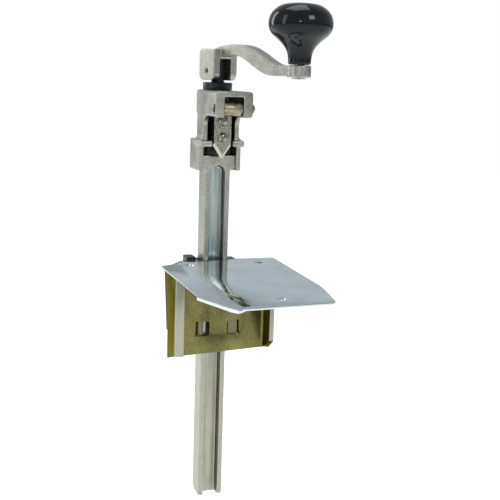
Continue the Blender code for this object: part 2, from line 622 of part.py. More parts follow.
def crank_pin():
    """A spring pin, rolled from sheet with a slit along one side."""
    across = CRANK_DIRECTION.cross(Vector((0, 0, 1)))
    length = CLEVIS_SLOT + 2 * CLEVIS_EAR - 0.001
    pin = rod("crank_pin", (0, ARBOR_Y, CRANK_PIN_Z), across, CRANK_PIN_RADIUS, length, SPRING_STEEL)
    core = rod("pin_core", (0, ARBOR_Y, CRANK_PIN_Z), across, CRANK_PIN_RADIUS * 0.55, length + 0.01, steps=16)
    slit = outline("pin_slit", [(-0.0004, 0.0), (0.0004, 0.0), (0.0004, 0.01), (-0.0004, 0.01)], length + 0.01,
                   crank_plane() @ Matrix.Translation((0, CRANK_PIN_Z, 0)))
    return cut(pin, core, slit)


# ---------------------------------------------------------------- knob
def knob():
    """The mushroom-shaped phenolic knob, bored from below for the stud it turns on."""
    bore = STUD_RADIUS + RUN
    base = BOSS_TOP_Z + GAP
    depth = STUD_REACH + 0.0015
    spine = [(0.0, 0.0), (0.40, 0.018), (0.646, 0.052), (0.846, 0.130), (0.955, 0.215), (1.0, 0.325),
             (0.978, 0.42), (0.885, 0.51), (0.68, 0.60), (0.495, 0.70), (0.397, 0.795), (0.363, 0.883),
             (0.352, 0.985)]
    shape = smooth_through(spine, 2)
    top = base + KNOB_HEIGHT
    outer = [(KNOB_RADIUS * r, top - KNOB_HEIGHT * h) for r, h in shape]
    profile = [*outer, (KNOB_NECK - 0.0006, base), (bore, base), (bore, base + depth),
               (0.0, base + depth + bore / 3)]
    return turned("knob", profile, (KNOB_CENTRE.x, KNOB_CENTRE.y, 0), (0, 0, 1), PHENOLIC, ROUND_STEPS)


def knob_stud():
    """The stud that is riveted in the crank's boss; a ring in its groove keeps the knob on."""
    reach = BOSS_TOP_Z + STUD_REACH
    ring_top = reach - 0.004
    ring_bottom = ring_top - RING_THICKNESS
    groove = STUD_RADIUS - RING_GROOVE_DEPTH
    foot = BOSS_BOTTOM_Z - GAP
    profile = [(0, reach), (STUD_RADIUS - 0.0006, reach), (STUD_RADIUS, reach - 0.0006),
               (STUD_RADIUS, ring_top + GAP), (groove, ring_top + GAP), (groove, ring_bottom - GAP),
               (STUD_RADIUS, ring_bottom - GAP), (STUD_RADIUS, foot), (STUD_RADIUS + 0.0022, foot),
               (STUD_RADIUS + 0.0016, foot - 0.0008), (STUD_RADIUS - 0.0010, foot - 0.0013),
               (0, foot - 0.0015)]
    turned("knob_stud", profile, (KNOB_CENTRE.x, KNOB_CENTRE.y, 0), (0, 0, 1), SPRING_STEEL)
    inner = groove + GAP / 2
    ring = turned("knob_ring", [(inner, ring_top), (STUD_RADIUS - GAP / 2, ring_top),
                                (STUD_RADIUS - GAP / 2, ring_bottom), (inner, ring_bottom)],
                  (KNOB_CENTRE.x, KNOB_CENTRE.y, 0), (0, 0, 1), SPRING_STEEL)
    gap_cut = box("ring_gap", (KNOB_CENTRE.x, KNOB_CENTRE.x + 0.01),
                  (KNOB_CENTRE.y - 0.001, KNOB_CENTRE.y + 0.001), (ring_bottom - 0.001, ring_top + 0.001))
    cut(ring, gap_cut)


# ---------------------------------------------------------------- knife holder
def knife_holder():
    """The swinging holder: a hub on the pin, an arm back under the block and a leg for the knife."""
    leg_bottom = HEAD_TOP - KNIFE_SHOULDER + 0.0042
    arm_top = PIN_Z + 0.0042
    arm_bottom = PIN_Z - 0.0062
    side = [(LEG_FRONT_Y, leg_bottom + 0.0008), (LEG_FRONT_Y, arm_bottom - 0.0010),
            (PIN_Y + 0.003, arm_bottom + 0.0006), (PIN_Y, arm_bottom + 0.003),
            (PIN_Y, arm_top), (LEG_BACK_Y - 0.0045, arm_top), (LEG_BACK_Y, arm_top - 0.0045),
            (LEG_BACK_Y, leg_bottom + 0.0008), (LEG_BACK_Y - 0.0008, leg_bottom),
            (LEG_FRONT_Y + 0.0008, leg_bottom)]
    holder = outline("knife_holder", side, ARM_HALF_WIDTH * 2, side_plane(), BRONZE)
    middle = (HUB_LEFT + HUB_RIGHT) / 2
    hub = rod("holder_hub", (middle, PIN_Y, PIN_Z), (1, 0, 0), HUB_RADIUS, HUB_RIGHT - HUB_LEFT,
              steps=ROUND_STEPS)
    join(holder, hub)
    bore = rod("hub_bore", (middle, PIN_Y, PIN_Z), (1, 0, 0), HOLDER_PIN_RADIUS + RUN, 0.05, steps=ROUND_STEPS)
    cut(holder, bore)
    for number, drop in enumerate(KNIFE_SCREW_DROPS):
        cut(holder, rod(f"leg_hole_{number}", (0, LEG_FRONT_Y, HEAD_TOP - drop), (0, 1, 0),
                        SCREW_SHANK_RADIUS + GAP, 0.03))
    return holder


def knife():
    """The pointed plate that is screwed to the holder's leg, its point bevelled on the front."""
    half = KNIFE_WIDTH / 2
    wide = KNIFE_POINT_WIDTH / 2
    top = HEAD_TOP - KNIFE_TOP
    shoulder = HEAD_TOP - KNIFE_SHOULDER
    tip = HEAD_TOP - KNIFE_TIP
    front = [(-half, top), (-half, shoulder + 0.001), (-wide, shoulder), (-0.0006, tip + 0.0004),
             (0.0006, tip + 0.0004), (wide, shoulder), (half, shoulder + 0.001), (half, top)]
    middle = (KNIFE_FRONT_Y + KNIFE_BACK_Y) / 2
    blade = outline("knife", front, KNIFE_THICKNESS, front_plane(middle), HARD_STEEL)
    # the two ground faces of the point
    slope = math.atan2(shoulder - tip, wide)
    for side in (-1, 1):
        grind = box("knife_grind_left" if side < 0 else "knife_grind_right",
                    (-0.02, 0.02), (-0.004, 0.004), (-0.004, 0.004))
        lean = Matrix.Rotation(side * -slope, 4, "Y") @ Matrix.Rotation(math.radians(40.0), 4, "X")
        edge = Vector((side * wide / 2, KNIFE_FRONT_Y, (shoulder + tip) / 2))
        outward = Vector((side * math.sin(slope), 0.0, -math.cos(slope)))
        grind.matrix_world = Matrix.Translation(edge + 0.0021 * outward + Vector((0, -0.0016, 0))) @ lean
        cut(blade, grind)
    for number, drop in enumerate(KNIFE_SCREW_DROPS):
        cut(blade, rod(f"knife_hole_{number}", (0, middle, HEAD_TOP - drop), (0, 1, 0),
                       SCREW_SHANK_RADIUS + GAP, 0.02))
    return blade


def knife_screw(name, drop, turn):
    """A round-headed slotted screw that clamps the knife to the leg."""
    z = HEAD_TOP - drop
    under = GAP
    crown = [(SCREW_HEAD_RADIUS * math.sin(math.radians(a)),
              under + SCREW_HEAD_HEIGHT * math.cos(math.radians(a))) for a in (12, 30, 50, 70, 90)]
    profile = [(0, under + SCREW_HEAD_HEIGHT), *crown, (SCREW_HEAD_RADIUS, under), (SCREW_SHANK_RADIUS, under),
               (SCREW_SHANK_RADIUS, -SCREW_LENGTH), (0, -SCREW_LENGTH)]
    screw = turned(name, profile, (0, KNIFE_FRONT_Y, z), (0, -1, 0), HARD_STEEL)
    top = KNIFE_FRONT_Y - under - SCREW_HEAD_HEIGHT
    slot = box(name + "_slot", (-0.01, 0.01), (-0.01, SLOT_DEPTH), (-SLOT_WIDTH / 2, SLOT_WIDTH / 2))
    slot.matrix_world = Matrix.Translation((0, top, z)) @ Matrix.Rotation(math.radians(turn), 4, "Y")
    return cut(screw, slot)


def holder_pin():
    """The pin through the fork of the block: flush-sunk on the left, headed on the right."""
    left = -BLOCK_WIDTH / 2 + PIN_RECESS
    right = BLOCK_WIDTH / 2
    r = HOLDER_PIN_RADIUS
    head = right + GAP
    under = PIN_HEAD_RADIUS + 0.0010
    profile = [(0, head + PIN_HEAD_HEIGHT), (under * 0.55, head + PIN_HEAD_HEIGHT * 0.86),
               (under * 0.88, head + PIN_HEAD_HEIGHT * 0.5), (under, head), (r, head),
               (r, left + 0.0005), (r - 0.0005, left), (0, left)]
    return turned("holder_pin", profile, (0, PIN_Y, PIN_Z), (1, 0, 0), BRONZE)


def holder_spring():
    """One turn of wire about the pin, with a leg under the roof and a leg on the holder's arm."""
    wire = SPRING_WIRE
    x = (HUB_RIGHT + WINDOW_RIGHT) / 2
    coil = HOLDER_PIN_RADIUS + wire + GAP * 2
    lean = (WINDOW_RIGHT - HUB_RIGHT) / 2 - wire - GAP / 2
    points = []
    for step in range(19):
        share = step / 18
        turn = math.radians(40 + 330 * share)
        points.append((x + lean * (share * 2 - 1) * 0.6,
                       PIN_Y + coil * math.cos(turn), PIN_Z + coil * math.sin(turn)))
    first = points[0]
    last = points[-1]
    leg_up = (first[0], first[1] + SPRING_LEG * 0.62, first[2] + 0.0016)
    leg_back = (last[0], last[1] + SPRING_LEG * 0.5, last[2] - 0.0006)
    curve = bpy.data.curves.new("holder_spring", "CURVE")
    curve.dimensions = "3D"
    curve.bevel_depth = wire
    curve.bevel_resolution = 2
    curve.use_fill_caps = True
    spline = curve.splines.new("POLY")
    path = [leg_up, *points, leg_back]
    spline.points.add(len(path) - 1)
    for point, place in zip(spline.points, path):
        point.co = (*place, 1.0)
    coil_object = bpy.data.objects.new("holder_spring", curve)
    parts.objects.link(coil_object)
    caps = coil_object.modifiers.new("caps", "WELD")
    caps.merge_threshold = 0.00001
    curve.materials.append(finish("holder_spring_" + SPRING_STEEL[0], *SPRING_STEEL[1:]))
    return coil_object


# ---------------------------------------------------------------- base plate and bracket
def side_height(x):
    """Height of the plate's underside: level, but for its left wing and its right edge."""
    if x < WING_FOOT:
        return -WING_STEP - WING_SLOPE * (WING_FOOT - x)
    if x < WING_FOLD:
        return -WING_STEP * (WING_FOLD - x) / (WING_FOLD - WING_FOOT)
    return 0.0


def base_plate():
    """The can rest: one sheet, its left side stepped down and a rim folded down round its front."""
    back = BAR_FRONT - PLATE_BACK
    kink = BAR_FRONT - PLATE_KINK
    front = BAR_FRONT - PLATE_FRONT
    left_back, left_kink, left_front = PLATE_LEFT
    right_back, right_kink, right_front = PLATE_RIGHT
    corner = 0.0025
    shape = [(left_back, back), (left_kink, kink), (left_front, front + corner), (left_front + corner, front),
             (right_front - corner, front), (right_front, front + corner), (right_kink, kink),
             (right_back, back)]
    bm = bmesh.new()
    bm.faces.new([bm.verts.new((x, y, 0.0)) for x, y in shape])
    for x in (WING_FOOT, WING_FOLD):
        everything = bm.verts[:] + bm.edges[:] + bm.faces[:]
        bmesh.ops.bisect_plane(bm, geom=everything, plane_co=(x, 0, 0), plane_no=(1, 0, 0))
    along_edge = Vector((right_back - right_kink, back - kink, 0.0)).normalized()
    inward = Vector((-along_edge.y, along_edge.x, 0.0))
    fold = Vector((right_kink, kink, 0.0)) + EDGE_FOLD * inward
    everything = bm.verts[:] + bm.edges[:] + bm.faces[:]
    bmesh.ops.bisect_plane(bm, geom=everything, plane_co=fold, plane_no=inward)
    for vert in bm.verts:
        past = min(0.0, (vert.co - fold).dot(inward)) / EDGE_FOLD
        vert.co.z = side_height(vert.co.x) + PLATE_THICKNESS + EDGE_DROP * past
    rim = [edge for edge in bm.edges if len(edge.link_faces) == 1
           and all(vert.co.y < kink + 0.001 and vert.co.x < right_front - 0.0001 for vert in edge.verts)]
    made = bmesh.ops.extrude_edge_only(bm, edges=rim)
    for vert in made["geom"]:
        if isinstance(vert, bmesh.types.BMVert):
            vert.co.z -= PLATE_RIM * min(1.0, 0.62 + (right_front - vert.co.x) * 4.0)
    bmesh.ops.recalc_face_normals(bm, faces=bm.faces)
    if max(bm.faces, key=lambda face: face.calc_area()).normal.z < 0:
        bmesh.ops.reverse_faces(bm, faces=bm.faces)
    mesh = bpy.data.meshes.new("base_plate")
    bm.to_mesh(mesh)
    bm.free()
    plate = add("base_plate", mesh, STAINLESS)
    wall = plate.modifiers.new("sheet", "SOLIDIFY")
    wall.thickness = PLATE_THICKNESS
    wall.offset = -1.0
    wall.use_even_offset = True

    clear = BAR_WIDTH / 2 + PLATE_NOTCH_CLEARANCE
    notch = box("bar_notch", (-clear, clear), (BAR_FRONT - PLATE_NOTCH_CLEARANCE, back + 0.01), (-0.02, 0.02))
    cut(plate, notch)
    holes = {"left": (BASE_SHIFT - SCREW_HOLE_SPACING, SCREW_HOLE_BACK),
             "right": (BASE_SHIFT + SCREW_HOLE_SPACING, SCREW_HOLE_BACK),
             "front": (BASE_SHIFT, SCREW_HOLE_FRONT)}
    for place, (x, forward) in holes.items():
        top = side_height(x) + PLATE_THICKNESS
        sink = SCREW_SINK_RADIUS - SCREW_HOLE_RADIUS
        profile = [(0, top + 0.004), (SCREW_SINK_RADIUS + 0.004, top + 0.004), (SCREW_HOLE_RADIUS, top - sink),
                   (SCREW_HOLE_RADIUS, top - 0.02), (0, top - 0.02)]
        cut(plate, turned(f"screw_hole_{place}", profile, (x, BAR_FRONT - forward, 0), (0, 0, 1)))
    return plate


def bent_sheet(path, radius, sheet, steps=4):
    """Outline of a sheet folded along a path of its outer corners, every fold with the same inner radius."""
    corners = [Vector(point) for point in path]
    first = (corners[1] - corners[0]).normalized()
    inner = [corners[0] + Vector((-first.y, first.x)) * sheet]
    outer = [corners[0]]
    for before, corner, after in zip(corners, corners[1:], corners[2:]):
        into = (corner - before).normalized()
        away = (after - corner).normalized()
        turn = into.x * away.y - into.y * away.x
        normal_in = Vector((-into.y, into.x))
        bend = math.acos(max(-1.0, min(1.0, into.dot(away))))
        side = 1.0 if turn > 0 else -1.0
        reach = radius + sheet if side > 0 else radius
        centre = corner - into * reach * math.tan(bend / 2) + normal_in * reach * side
        start = math.atan2(-side * normal_in.y, -side * normal_in.x)
        for step in range(steps + 1):
            angle = start + side * bend * step / steps
            spoke = Vector((math.cos(angle), math.sin(angle)))
            outer.append(centre + spoke * (radius + sheet if side > 0 else radius))
            inner.append(centre + spoke * (radius if side > 0 else radius + sheet))
    last = (corners[-1] - corners[-2]).normalized()
    outer.append(corners[-1])
    inner.append(corners[-1] + Vector((-last.y, last.x)) * sheet)
    return [tuple(point) for point in outer + inner[::-1]]


def base_bracket():
    """The channel under the plate: web, side walls with inturned lips, and two tabs folded back."""
    sheet = BRACKET_SHEET
    web = BAR_FRONT - BRACKET_WEB
    front_of_web = web + sheet
    ends = {-1: BRACKET_LEFT, 1: BRACKET_RIGHT}
    lips = {-1: BRACKET_LEFT_LIP, 1: BRACKET_RIGHT_LIP}
    top = 0.004
    middle = top_plane((top + BRACKET_BOTTOM) / 2)
    path = [(ends[-1] + lips[-1], 0.0), (ends[-1], 0.0), (ends[-1], front_of_web),
            (ends[1], front_of_web), (ends[1], 0.0), (ends[1] - lips[1], 0.0)]
    channel = outline("base_bracket", bent_sheet(path[::-1], BRACKET_BEND, sheet, 6), top - BRACKET_BOTTOM,
                      middle, PLATED)
    ledge = box("weld_flange", (WING_FOLD + 0.002, -WING_FOLD + 0.004), (web - FLANGE_DEPTH, web + sheet / 2),
                (-GAP - sheet, -GAP))
    join(channel, ledge)
    # ears that carry the walls on behind the web, to support the back of the plate
    ear = [(web - BRACKET_BEND - sheet, top), (EAR_BACK, top), (front_of_web, EAR_BOTTOM),
           (web - BRACKET_BEND - sheet, EAR_BOTTOM)]
    for side, end in ends.items():
        name = "left" if side < 0 else "right"
        join(channel, outline(f"bracket_ear_{name}", ear, sheet, side_plane(end - side * sheet / 2)))

    # the folded plate lies on top of the walls
    beyond = -0.1
    over = [(beyond, side_height(beyond) - GAP), (WING_FOOT, side_height(WING_FOOT) - GAP),
            (WING_FOLD, -GAP), (-beyond, -GAP), (-beyond, 0.05), (beyond, 0.05)]
    plate_room = outline("plate_room", over, 0.5, front_plane(0.0))
    # the web's lower edge is cut at a slant, the left wall is shorter, and the right wall lacks a corner
    below = BRACKET_BOTTOM - 0.03
    rise = BRACKET_RIGHT_BOTTOM - BRACKET_BOTTOM
    foot = [(ends[-1] - 0.01, below), (ends[1] + 0.01, below), (ends[1] + 0.01, BRACKET_RIGHT_BOTTOM),
            (ends[-1] - 0.01, BRACKET_RIGHT_BOTTOM - rise * 1.1)]
    web_foot = outline("web_foot", foot, 0.4, front_plane(0.0))
    short = [(-0.01, below), (web - 0.0004, below), (web - 0.0004, BRACKET_BOTTOM),
             (web - BRACKET_BEND - sheet, WALL_BOTTOM), (-0.01, WALL_BOTTOM)]
    left_foot = outline("left_wall_foot", short, 0.04, side_plane(ends[-1] + 0.005))
    corner = [(-0.01, below), (web - 0.0004, below), (web - 0.0004, BRACKET_RIGHT_BOTTOM), WALL_CORNER,
              (0.0, WALL_CORNER_TOP), (-0.01, WALL_CORNER_TOP)]
    right_foot = outline("right_wall_foot", corner, 0.04, side_plane(ends[1] - 0.005))
    cut(channel, plate_room, web_foot, left_foot, right_foot)

    tab_half = (WEB_HOLE_TOP - WEB_HOLE_BOTTOM) / 2
    tab_middle = (WEB_HOLE_TOP + WEB_HOLE_BOTTOM) / 2
    for side in (-1, 1):
        name = "left" if side < 0 else "right"
        turn = WEB_HOLE_ROUND
        near = [*arc(-WEB_HOLE_INNER - turn, WEB_HOLE_TOP - turn, turn, 90, 0, 3),
                *arc(-WEB_HOLE_INNER - turn, WEB_HOLE_BOTTOM + turn, turn, 0, -90, 3)]
        edge = [(-WEB_HOLE_OUTER, WEB_HOLE_BOTTOM), (-WEB_HOLE_OUTER, WEB_HOLE_TOP), *near]
        hole = [(BASE_SHIFT - side * x, z) for x, z in edge]
        cut(channel, outline(f"web_hole_{name}", hole, 0.02, front_plane(web)))
        inside = WEB_HOLE_OUTER - TAB_BEND - sheet
        path = [(side * (WEB_HOLE_OUTER + 0.002), web), (side * inside, web), (side * inside, web + TAB_DEPTH)]
        tab = bent_sheet(path if side < 0 else path[::-1], TAB_BEND, sheet)
        place = top_plane(tab_middle) @ Matrix.Translation((BASE_SHIFT, 0, 0))
        join(channel, outline(f"tab_{name}", tab, 2 * tab_half, place))
    return channel


def bar_guides():
    """What holds the bar in the base: moulded guide behind it, pads beside it, strap and leaf spring."""
    beside = BAR_WIDTH / 2 + GUIDE_CLEARANCE
    behind = BAR_BACK + GUIDE_CLEARANCE
    web_back = BAR_FRONT - BRACKET_WEB + BRACKET_SHEET
    tab_end = BAR_FRONT - BRACKET_WEB + TAB_DEPTH
    tab_inside = WEB_HOLE_OUTER - TAB_BEND - BRACKET_SHEET
    front = tab_end + GAP
    guide_back = behind + GUIDE_BACK_WALL
    top = -GAP
    left = BASE_SHIFT - GUIDE_HALF_WIDTH
    right = BASE_SHIFT + GUIDE_HALF_WIDTH
    plan = [(left, front), (-beside, front), (-beside, behind), (beside, behind), (beside, front),
            (right, front), (right, guide_back), (left, guide_back)]
    guide = outline("rear_guide", plan, top - GUIDE_BOTTOM, top_plane((top + GUIDE_BOTTOM) / 2), BLACK_NYLON)
    lug = box("guide_lug", (-LUG_OUTER, -LUG_INNER), (BAR_FRONT - PLATE_BACK + 0.010, guide_back),
              (top - 0.012, PLATE_THICKNESS + LUG_TOP))
    ease(lug, 0.0008)
    join(guide, lug)

    # the strap lies in a groove round the sides and back of the guide, over the leaf spring
    middle = (WEB_HOLE_BOTTOM + WEB_HOLE_TOP) / 2
    strap_z = (middle - STRAP_HEIGHT / 2 - GAP, middle + STRAP_HEIGHT / 2 + GAP)
    leg = tab_inside + BRACKET_SHEET + GAP
    groove = [box("strap_seat_left", (-0.05, BASE_SHIFT - leg + GAP), (0.0, 0.1), strap_z),
              box("strap_seat_right", (BASE_SHIFT + leg - GAP, 0.05), (0.0, 0.1), strap_z)]
    cut(guide, *groove)
    strap_back = guide_back + SPRING_SHEET + SPRING_BOW + 2 * GAP
    legs_front = BAR_FRONT - BRACKET_WEB + BRACKET_SHEET + TAB_BEND + 0.002
    path = [(-leg - STRAP_SHEET, legs_front), (-leg - STRAP_SHEET, strap_back + STRAP_SHEET),
            (leg + STRAP_SHEET, strap_back + STRAP_SHEET), (leg + STRAP_SHEET, legs_front)]
    loop = bent_sheet(path[::-1], 0.0012, STRAP_SHEET, steps=3)
    outline("saddle_strap", loop, STRAP_HEIGHT, top_plane(middle) @ Matrix.Translation((BASE_SHIFT, 0, 0)),
            STAINLESS)

    half = leg - 0.004
    waves = 10
    crest = [(-half + 2 * half * i / waves, SPRING_BOW * math.sin(math.pi * i / waves)) for i in range(waves + 1)]
    near = [(BASE_SHIFT + x, guide_back + GAP + rise) for x, rise in crest]
    far = [(x, y + SPRING_SHEET) for x, y in reversed(near)]
    outline("friction_spring", near + far, STRAP_HEIGHT - 0.002, top_plane(middle), SPRING_STEEL)

    pads = {"left": (BASE_SHIFT - tab_inside + GAP, -beside),
            "right": (beside, BASE_SHIFT + tab_inside - GAP)}
    for side, limits in pads.items():
        pad = box(f"{side}_guide_pad", limits, (web_back + GAP, front - GAP),
                  (WEB_HOLE_BOTTOM - PAD_OVERLAP, WEB_HOLE_TOP + PAD_OVERLAP), LIGHT_NYLON)
        ease(pad, 0.0004)


# ---------------------------------------------------------------- the whole opener
opener_casting()
bush("upper_bush", ARBOR_BODY + RUN, UPPER_BUSH_LENGTH - 0.001, HEAD_TOP)
bush("lower_bush", ARBOR_NECK + RUN, LOWER_BUSH_LENGTH, BOX_TOP + 0.003, flange=0.0022)
holder_pin()
arbor()
drive_gear()
gear_fasteners()
crank_arm()
crank_pin()
knob()
knob_stud()
knife_holder()
knife()
knife_screw("knife_screw_upper", KNIFE_SCREW_DROPS[0], -35.0)
knife_screw("knife_screw_lower", KNIFE_SCREW_DROPS[1], -50.0)
holder_spring()
base_plate()
base_bracket()
bar_guides()
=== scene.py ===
import math
import bmesh
import bpy
from mathutils import Matrix, Vector


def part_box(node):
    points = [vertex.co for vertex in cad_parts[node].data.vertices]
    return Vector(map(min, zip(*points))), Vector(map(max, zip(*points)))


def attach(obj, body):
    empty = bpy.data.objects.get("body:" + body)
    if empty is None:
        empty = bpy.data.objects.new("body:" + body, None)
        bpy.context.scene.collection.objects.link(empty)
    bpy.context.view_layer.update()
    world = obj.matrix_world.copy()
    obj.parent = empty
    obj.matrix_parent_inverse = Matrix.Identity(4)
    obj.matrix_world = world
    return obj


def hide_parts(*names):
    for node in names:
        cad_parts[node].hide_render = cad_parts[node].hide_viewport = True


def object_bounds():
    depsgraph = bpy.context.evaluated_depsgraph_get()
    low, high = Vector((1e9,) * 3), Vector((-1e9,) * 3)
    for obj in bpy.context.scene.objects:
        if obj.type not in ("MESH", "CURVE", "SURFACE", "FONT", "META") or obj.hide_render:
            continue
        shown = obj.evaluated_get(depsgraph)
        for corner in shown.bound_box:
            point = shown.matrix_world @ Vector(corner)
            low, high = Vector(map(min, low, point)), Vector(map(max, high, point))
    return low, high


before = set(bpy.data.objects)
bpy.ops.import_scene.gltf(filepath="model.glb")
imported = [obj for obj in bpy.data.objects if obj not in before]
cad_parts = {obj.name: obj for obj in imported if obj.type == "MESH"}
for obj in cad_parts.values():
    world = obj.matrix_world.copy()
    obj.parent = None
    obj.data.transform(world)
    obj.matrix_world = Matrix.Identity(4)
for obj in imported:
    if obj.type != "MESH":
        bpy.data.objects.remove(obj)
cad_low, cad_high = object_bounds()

# The studio: a pale floor well below the hanging bar, a bright dome and broad soft lamps.
# The camera stands at the left of the operator, a little above the plate, as the opener was seen.
AZIMUTH = math.radians(20.1)
ELEVATION = math.radians(10.42)
ROLL = math.radians(1.83)
CAMERA_PLACE = Vector((-0.28983, -0.85352, 0.18497))
SENSOR = 36.0
LENS = 69.48
FLOOR_DROP = 0.11
FLOOR_SIZE = 8.0
FLOOR_GLOW = 0.60
DOME = ((0.0, (0.30, 0.30, 0.30, 1.0)), (0.47, (0.30, 0.31, 0.32, 1.0)),
        (0.58, (0.56, 0.63, 0.67, 1.0)), (0.80, (0.46, 0.50, 0.54, 1.0)))
BACKDROP = (1.0, 1.0, 1.0, 1.0)
OPENER_MIDDLE = (0.0, 0.0, 0.05)

look = Vector((math.sin(AZIMUTH) * math.cos(ELEVATION), math.cos(AZIMUTH) * math.cos(ELEVATION),
               -math.sin(ELEVATION)))
level = look.cross(Vector((0, 0, 1))).normalized()
over = level.cross(look)
right = math.cos(ROLL) * level + math.sin(ROLL) * over
up = math.cos(ROLL) * over - math.sin(ROLL) * level
camera = bpy.data.objects.new("camera", bpy.data.cameras.new("camera"))
bpy.context.scene.collection.objects.link(camera)
camera.data.sensor_width = SENSOR
camera.data.lens = LENS
camera.data.clip_start = 0.01
turn = Matrix((right, up, -look)).transposed()
camera.matrix_world = Matrix.Translation(CAMERA_PLACE) @ turn.to_4x4()
bpy.context.scene.camera = camera


def start_piece():
    """Nothing stays selected or in edit mode before the next operator acts."""
    if bpy.context.mode != "OBJECT":
        bpy.ops.object.mode_set(mode="OBJECT")
    bpy.ops.object.select_all(action="DESELECT")


class Wire:
    """A shader socket that can be reckoned with: + - * / add Math nodes to its tree."""

    def __init__(self, tree, socket):
        self.tree = tree
        self.socket = socket

    def math(self, operation, other, flipped=False):
        pair = (other, self) if flipped else (self, other)
        return Shader(self.tree).node("ShaderNodeMath", {"operation": operation}, {0: pair[0], 1: pair[1]})

    def __add__(self, other):
        return self.math("ADD", other)

    def __radd__(self, other):
        return self.math("ADD", other, True)

    def __sub__(self, other):
        return self.math("SUBTRACT", other)

    def __rsub__(self, other):
        return self.math("SUBTRACT", other, True)

    def __mul__(self, other):
        return self.math("MULTIPLY", other)

    def __rmul__(self, other):
        return self.math("MULTIPLY", other, True)

    def __abs__(self):
        return Shader(self.tree).node("ShaderNodeMath", {"operation": "ABSOLUTE"}, {0: self})


class Shader:
    """The nodes of a material or a world, each added by the one method node."""

    def __init__(self, tree):
        self.tree = tree

    def node(self, kind, settings=None, inputs=None, output=0):
        made = self.tree.nodes.new(kind)
        for name, value in (settings or {}).items():
            if name == "stops":
                ramp = made.color_ramp.elements
                while len(ramp) < len(value):
                    ramp.new(0.5)
                for stop, (place, colour) in zip(ramp, value):
                    stop.position = place
                    stop.color = colour
            else:
                setattr(made, name, value)
        for name, value in (inputs or {}).items():
            if isinstance(value, Wire):
                self.tree.links.new(value.socket, made.inputs[name])
            else:
                made.inputs[name].default_value = value
        return Wire(self.tree, made.outputs[output])

    def place(self):
        return self.node("ShaderNodeTexCoord", output="Object")

    def along(self, axis):
        return self.node("ShaderNodeSeparateXYZ", {}, {"Vector": self.place()}, output=axis)

    def stretched(self, scale, turn=(0.0, 0.0, 0.0)):
        return self.node("ShaderNodeMapping", {}, {"Vector": self.place(), "Scale": scale, "Rotation": turn})

    def noise(self, scale, detail=3.0, roughness=0.5, vector=None):
        return self.node("ShaderNodeTexNoise", {}, {"Vector": vector or self.place(), "Scale": scale,
                                                    "Detail": detail, "Roughness": roughness})

    def spread(self, wire, low, high, to_low=0.0, to_high=1.0):
        ends = {"From Min": low, "From Max": high, "To Min": to_low, "To Max": to_high}
        return self.node("ShaderNodeMapRange", {"clamp": True}, {"Value": wire, **ends})

    def blend(self, mask, first, second):
        """A Mix node of colours: its factor is socket 0, its colours are 6 and 7, and 2 comes out."""
        return self.node("ShaderNodeMix", {"data_type": "RGBA"}, {0: mask, 6: first, 7: second}, output=2)

    def relief(self, height, strength, distance, under=None):
        inputs = {"Height": height, "Strength": strength, "Distance": distance}
        if under:
            inputs["Normal"] = under
        return self.node("ShaderNodeBump", {}, inputs)


def new_finish(name, **fixed):
    """A Principled material; values that are the same all over are set on its own sockets."""
    material = bpy.data.materials.new(name)
    material.use_nodes = True
    principled = material.node_tree.nodes["Principled BSDF"]
    for socket, value in fixed.items():
        principled.inputs[socket.replace("_", " ")].default_value = value
    return material, Shader(material.node_tree), principled.inputs


def feed(shader, inputs, **wires):
    """What changes over the surface is linked to the Principled sockets."""
    for socket, wire in wires.items():
        shader.tree.links.new(wire.socket, inputs[socket.replace("_", " ")])


floor_level = cad_low[2] - FLOOR_DROP
bpy.ops.mesh.primitive_plane_add(size=FLOOR_SIZE, location=(0.0, 0.0, floor_level))
floor = bpy.context.object
floor.name = "floor"
floor_paint, shader, sockets = new_finish("floor_paint", Base_Color=(0.93, 0.93, 0.93, 1.0), Roughness=0.95,
                                          Specular_IOR_Level=0.1, Emission_Color=(1.0, 1.0, 1.0, 1.0),
                                          Emission_Strength=FLOOR_GLOW)
floor.data.materials.append(floor_paint)


def lamp(name, place, aim, size, power, colour=(1.0, 1.0, 1.0)):
    """A broad rectangular lamp that faces a point."""
    light = bpy.data.lights.new(name, "AREA")
    light.shape = "RECTANGLE"
    light.size, light.size_y = size
    light.energy = power
    light.color = colour
    holder = bpy.data.objects.new(name, light)
    bpy.context.scene.collection.objects.link(holder)
    holder.location = place
    holder.rotation_euler = (Vector(aim) - Vector(place)).to_track_quat("-Z", "Y").to_euler()


lamp("front_softbox", (0.55, -1.60, 1.15), OPENER_MIDDLE, (0.6, 0.6), 9.0)
lamp("left_strip", (-1.35, -0.20, 0.55), OPENER_MIDDLE, (0.3, 1.2), 3.0)
lamp("top_softbox", (0.0, 0.25, 1.75), (0.0, 0.0, 0.0), (1.0, 1.0), 9.0)
lamp("back_strip", (-0.90, 1.10, 0.60), OPENER_MIDDLE, (0.3, 1.2), 6.0)
lamp("flash", (-0.36, -0.95, 0.36), OPENER_MIDDLE, (0.035, 0.035), 0.6, (0.72, 0.87, 1.0))

world = bpy.data.worlds.new("studio")
bpy.context.scene.world = world
world.use_nodes = True
bpy.context.scene.view_settings.view_transform = "Standard"
sky = Shader(world.node_tree)
heading = sky.node("ShaderNodeTexCoord", output="Generated")
rise = sky.node("ShaderNodeSeparateXYZ", {}, {"Vector": heading}, output=2)
dome = sky.node("ShaderNodeValToRGB", {"stops": DOME}, {"Fac": rise * 0.5 + 0.5})
seen = sky.node("ShaderNodeLightPath", output=0)
shown = sky.blend(seen, dome, BACKDROP)
background = world.node_tree.nodes["Background"]
world.node_tree.links.new(shown.socket, background.inputs["Color"])
background.inputs["Strength"].default_value = 1.0


